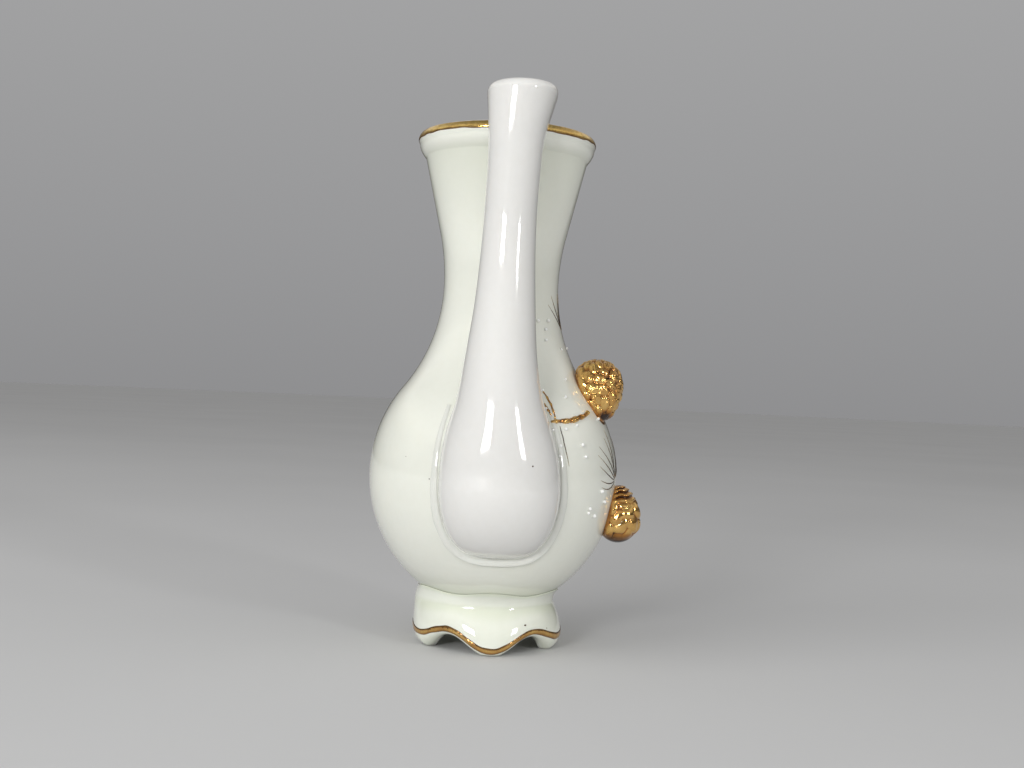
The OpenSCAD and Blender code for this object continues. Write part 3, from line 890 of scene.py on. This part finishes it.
def lower_pattern(t, a):
    """Rings at the narrow end, large scales round the middle, and a smooth end."""
    relief, hollow = scales(t, a, 9, 5.5, 1.4, 0.3, 3.0)
    phase = t + 3 * sin(2 * a) + 2 * sin(5 * a + 30)
    crest = 0.5 + 0.5 * cos(360 * phase / 14.0)
    ringed = smooth((66 - t) / 20)
    scaled = smooth((t - 50) / 22) * smooth((142 - t) / 26)
    relief = 0.95 * (crest - 0.5) * ringed * smooth((t - 8) / 10) + relief * scaled
    # browner in the grooves between the rings and towards the smooth lower end: painted shade
    hollow = (1 - crest) ** 2 * ringed * 0.7 + hollow * scaled + 0.25 * smooth((t - 140) / 20)
    return relief, np.clip(hollow, 0, 1)


# length and girth, azimuth, height, lift and lean
pine_cone("gilt_upper_cone", "upper_pine_cone", (24.4, 18.4), 72, 96.7, 3.6, 14, upper_pattern)
pine_cone("gilt_lower_cone", "lower_pine_cone", (21.6, 15.8), 76, 51.5, 2.6, 172, lower_pattern)

# ---------------------------------------------------------------- twigs
def bark(m, seed, deep):
    """How much a twig swells along its m points, with nine knots at random places."""
    r = np.random.default_rng(seed)
    x = np.arange(m)
    base = 1 + 0.18 * np.sin(np.radians(x / m * 12 * 137.5))
    knots = np.zeros(m)
    for c in r.uniform(0.06 * m, 0.95 * m, 9):
        knots += deep * r.uniform(0.4, 1) * np.exp(-(((x - c) / (0.018 * m)) ** 2))
    return base + knots - 0.5 * deep


def twig_piece(name, node, runs, w, h, deep, seed):
    """Knotty twigs of half width w and height h along runs of (start, end, bow)."""
    steps, facets = 110, 18
    parts, hollows = [], []
    along = np.arange(steps + 1)
    for i, (a, b, bow) in enumerate(runs):
        path = bent(a, b, bow, steps)
        path[:, 0] += 0.16 * wobble(along * 5.0, seed + i)
        path[:, 1] += 0.14 * wobble(along * 4.0, seed + 20 + i)
        swell = bark(steps + 1, seed + i, deep)
        rings, t = ridge(path, w, h, facets, swell)
        sides = rings.shape[1]
        # fluted bark
        flute = 1 + 0.07 * np.sin(np.arange(sides)[None, :] * 1.9 + along[:, None] * 0.35)
        mid = rings.mean(1, keepdims=True)
        rings = mid + (rings - mid) * flute[..., None]
        parts.append((outside(rings), t))
        # browner where the twig is thinner between its knots: painted shade
        low = np.clip(0.06 - 1.2 * (swell - swell.mean())[:, None], 0, 0.5) * np.ones((1, sides))
        hollows.append(np.concatenate([low.ravel(), [0.5, 0.5]]))
    verts, faces, _ = join_lofts(parts)
    attrs = {"hollow": np.concatenate(hollows)}
    return new_object(name, verts, faces, node, gold_lustre, attrs, sharp=0)


twig_piece(
    "gilt_twig", "twig",
    [([24, 85.8], [53, 89.4], [0, -1]), ([92, 92], [118, 87], [0, 1.4])],
    1.05, 1.5, 0.35, 60,
)
twig_piece(
    "gilt_side_twigs", "side_twigs",
    [
        ([26.6, 86.4], [23.6, 96.6], [1.1, 0.2]),
        ([24.8, 86.8], [22.2, 92], [0.3, 0]),
        ([111, 92], [119, 99], [1.5, 0]),
    ],
    0.4, 0.45, 0.15, 80,
)


# ---------------------------------------------------------------- needles and enamel
def needles(name, node, strokes):
    """Painted strokes of (root, tip, bow), which start a little off the root."""
    parts = []
    for i, (root, tip, bow) in enumerate(strokes):
        path = bent(root, tip, bow, 72)[5:]
        n = len(path)
        path[:, 0] += 0.12 * wobble(np.arange(n) * 4.0, 100 + i)
        swell = 1 + 0.14 * wobble(np.arange(n) * 7.0, 130 + i)
        swell *= mix(1.15, 0.62, np.linspace(0, 1, n))
        rings, t = ridge(path, 0.22, 0.18, 8, swell)
        parts.append((rings, t))
    verts, faces, along = join_lofts(parts)
    return new_object(name, verts, faces, node, brown_paint, {"stroke": along}, sharp=0)


UP, LOW = [78, 119], [71, 64.4]  # [azimuth, height] where the strokes of a spray meet
needles("painted_upper_needles", "upper_needles", [
    (UP, [68, 127], [0.5, 0.3]), (UP, [55, 132], [-1.5, 0.5]), (UP, [49, 128.4], [2, -0.8]),
    (UP, [72, 133], [-0.6, 0]), (UP, [86, 134], [-1, 1]), (UP, [100, 131], [0, 1]),
    (UP, [108, 126], [0, 1]),
])
needles("painted_middle_needles", "middle_needles", [
    ([28.4, 85.2], [31, 70.2], [-0.3, 0]), ([112, 87], [121, 74], [1, 1]),
    ([114, 86], [108, 71], [1.4, 0]),
])
needles("painted_lower_needles", "lower_needles", [
    (LOW, [65, 83], [0.5, 1]), (LOW, [61, 80], [1, 0]), (LOW, [53.4, 77], [3, -1]),
    (LOW, [51.2, 74], [3, -1.5]), (LOW, [51.8, 70], [1, -1.2]), (LOW, [52.2, 65], [0, -1.2]),
    (LOW, [53.4, 62.4], [0, -1.8]), (LOW, [88, 82], [0, 1]), (LOW, [96, 77], [0, 1.6]),
    (LOW, [99, 71], [0, 1.5]),
])

BEAD_R = 0.75
# [azimuth, height, size]
BEADS = [
    [33, 122, 0.9], [46, 122.4, 0.9], [41, 119, 0.8], [39, 115, 0.8], [58, 112, 0.7],
    [23.4, 96.6, 0.8], [38.6, 94.6, 0.8], [22.4, 90.2, 0.7], [47, 101, 0.7],
    [39, 84.6, 0.7], [24, 82.8, 0.7], [31.4, 83.2, 0.8], [40, 77.8, 0.9], [27, 77.4, 0.9],
    [26, 73.8, 0.7], [41, 73.6, 0.8], [62, 87, 0.7],
    [53, 61, 1], [45, 55, 0.9], [44.6, 53.4, 0.8], [49.4, 52.2, 1], [57, 57, 0.8],
    [92, 56, 0.9], [99, 61, 0.8], [104, 52, 0.9], [98, 108, 0.8], [106, 116, 0.8],
    [100, 84, 0.8], [109, 79, 0.7], [88, 113, 0.7],
]


def drop(centre, out_r, along_r, up_r, rows, sides, lobe=0.0):
    """Rings of a small ball on the body, with its half sizes outward, along the skin and up."""
    out = np.array([centre[0], centre[1], 0]) / np.hypot(centre[0], centre[1])
    along = np.array([-out[1], out[0], 0])
    up = np.array([0, 0, 1.0])
    t = np.linspace(8, 172, rows)[:, None]
    a = (np.arange(sides) * 360 / sides)[None, :]
    pts = (
        centre
        + out * (-out_r * cos(t) * np.ones_like(a))[..., None]
        + along * (along_r * sin(t) * cos(a) * (1 + lobe * sin(3 * a)))[..., None]
        + up * (up_r * sin(t) * sin(a))[..., None]
    )
    return pts[::-1], np.broadcast_to(t / 180.0, pts.shape[:2])


parts = []
for azimuth, z, size in BEADS:
    r = BEAD_R * size
    uneven = rng.uniform(0.94, 1.06, 3)
    parts.append(drop(on_body(azimuth, z, 0.6 * r), *(r * uneven), 15, 24))
verts, faces, _ = join_lofts(parts)
attrs = {"glaze_pool_and_shade": np.full(len(verts), 0.1)}
new_object("enamel_dots", verts, faces, "enamel_beads", enamel, attrs, sharp=0)

# iron specks that came through the glaze in the kiln, each on its own surface
speck_mat, t, b = nodes_of("iron_speck")
vec = coords(t)
rust = [(0.3, (0.05, 0.03, 0.018)), (0.7, (0.13, 0.085, 0.05))]
link(t, ramp(t, noise(t, vec, 2500, 2), rust), b.inputs["Base Color"])
link(t, ramp(t, noise(t, vec, 1500, 2), [(0.3, 0.15), (0.7, 0.4)]), b.inputs["Roughness"])
on_handle = strap_verts[strap_verts[:, 1] < -50]
on_handle = on_handle[np.argmin(np.abs(on_handle[:, 0] - 9.6) + np.abs(on_handle[:, 2] - 70.7))]
on_foot = foot_verts[np.argmin(np.linalg.norm(foot_verts - [12.4, -24.6, 11.2], axis=1))]
SPECKS = [(on_handle, 0.36), (on_body(-32, 63.9), 0.26), (on_body(-46, 71.0), 0.16), (on_foot, 0.46)]
specks = [drop(centre, 0.10, r, 0.8 * r, 9, 14, 0.2) for centre, r in SPECKS]
verts, faces, _ = join_lofts(specks)
new_object("iron_specks", verts, faces, None, speck_mat, sharp=0)

# ---------------------------------------------------------------- stage
floor_mat, t, b = nodes_of("floor_plain")
vec = coords(t)
grey = [(0.3, (0.60, 0.60, 0.60)), (0.7, (0.63, 0.63, 0.63))]
link(t, ramp(t, noise(t, vec, 3, 3), grey), b.inputs["Base Color"])
b.inputs["Roughness"].default_value = 0.75
bpy.ops.mesh.primitive_circle_add(vertices=96, radius=9, fill_type="NGON", location=(0, 0, -0.0001))
floor = bpy.context.object
floor.name = "floor"
floor.data.materials.append(floor_mat)

# a soft grey room, which the gloss and the gold mirror darker than the eye sees it
world = bpy.data.worlds.new("soft_room")
world.use_nodes = True
wt = world.node_tree
wt.nodes.clear()
w_out = wt.nodes.new("ShaderNodeOutputWorld")
w_bg = wt.nodes.new("ShaderNodeBackground")
w_tc = wt.nodes.new("ShaderNodeTexCoord")
w_sep = wt.nodes.new("ShaderNodeSeparateXYZ")
link(wt, w_tc.outputs["Generated"], w_sep.inputs["Vector"])
height = maths(wt, "ADD", maths(wt, "MULTIPLY", w_sep.outputs["Z"], 0.5), 0.5)
w_col = ramp(
    wt,
    height,
    [(0.45, (0.40, 0.40, 0.41)), (0.55, (0.50, 0.50, 0.51)), (0.80, (0.72, 0.72, 0.72))],
)
w_room = ramp(
    wt,
    height,
    [
        (0.44, (0.05, 0.045, 0.04)),
        (0.53, (0.08, 0.075, 0.07)),
        (0.66, (0.28, 0.26, 0.24)),
        (0.74, (1.10, 1.06, 1.00)),
        (0.84, (0.55, 0.54, 0.53)),
        (0.97, (0.20, 0.20, 0.20)),
    ],
)
w_path = wt.nodes.new("ShaderNodeLightPath")
link(wt, mixed(wt, w_path.outputs["Is Glossy Ray"], w_col, w_room), w_bg.inputs["Color"])
w_bg.inputs["Strength"].default_value = 0.62
link(wt, w_bg.outputs["Background"], w_out.inputs["Surface"])
bpy.context.scene.world = world


AIM = Vector((0, 0, 0.11))


def window(name, azimuth, elevation, width, height, power, distance=1.5):
    """A tall soft light that faces the middle of the vase."""
    data = bpy.data.lights.new(name, "AREA")
    data.shape = "RECTANGLE"
    data.size = width
    data.size_y = height
    data.energy = power
    obj = bpy.data.objects.new(name, data)
    flat = float(cos(elevation))
    way = Vector((float(sin(azimuth)) * flat, -float(cos(azimuth)) * flat, float(sin(elevation))))
    obj.location = AIM + distance * way
    obj.rotation_euler = (AIM - obj.location).to_track_quat("-Z", "Y").to_euler()
    bpy.context.scene.collection.objects.link(obj)
    return obj


def soft(name, azimuth, elevation, width, height, power, distance):
    """A large diffuser, which the gloss doesn't mirror."""
    obj = window(name, azimuth, elevation, width, height, power, distance)
    obj.visible_glossy = False


# azimuth, elevation, width, height, power
window("window_left", -28, 11.7, 0.37, 0.23, 9.5)
window("window_right", 39, 11.7, 0.18, 0.25, 4.5)
soft("diffuser_left", -55, 30, 1.2, 1.2, 10.5, 1.8)
soft("diffuser_right", 70, 25, 1.0, 1.2, 2.0, 1.8)

# ---------------------------------------------------------------- camera
cam_data = bpy.data.cameras.new("camera")
cam = bpy.data.objects.new("camera", cam_data)
bpy.context.scene.collection.objects.link(cam)
CAM_AZ, CAM_DIST, CAM_Z, ROLL = -4.0, 0.4737, 0.0959, math.radians(2.53)
cam.location = (CAM_DIST * float(sin(CAM_AZ)), -CAM_DIST * float(cos(CAM_AZ)), CAM_Z)
back = Vector((float(sin(CAM_AZ)), -float(cos(CAM_AZ)), 0))
right = Vector((-back.y, back.x, 0))
up = Vector((0, 0, 1))
x_axis = right * math.cos(ROLL) + up * math.sin(ROLL)
y_axis = up * math.cos(ROLL) - right * math.sin(ROLL)
turn = Matrix((x_axis, y_axis, back)).transposed()
cam.matrix_world = Matrix.Translation(cam.location) @ turn.to_4x4()
cam_data.sensor_width = 36
cam_data.lens = 43.6
cam_data.shift_x = 0.0151
cam_data.shift_y = 0.0059
cam_data.clip_start = 0.01
cam_data.dof.use_dof = False
bpy.context.scene.camera = cam

bpy.context.scene.view_settings.view_transform = "Standard"
bpy.context.scene.view_settings.look = "None"
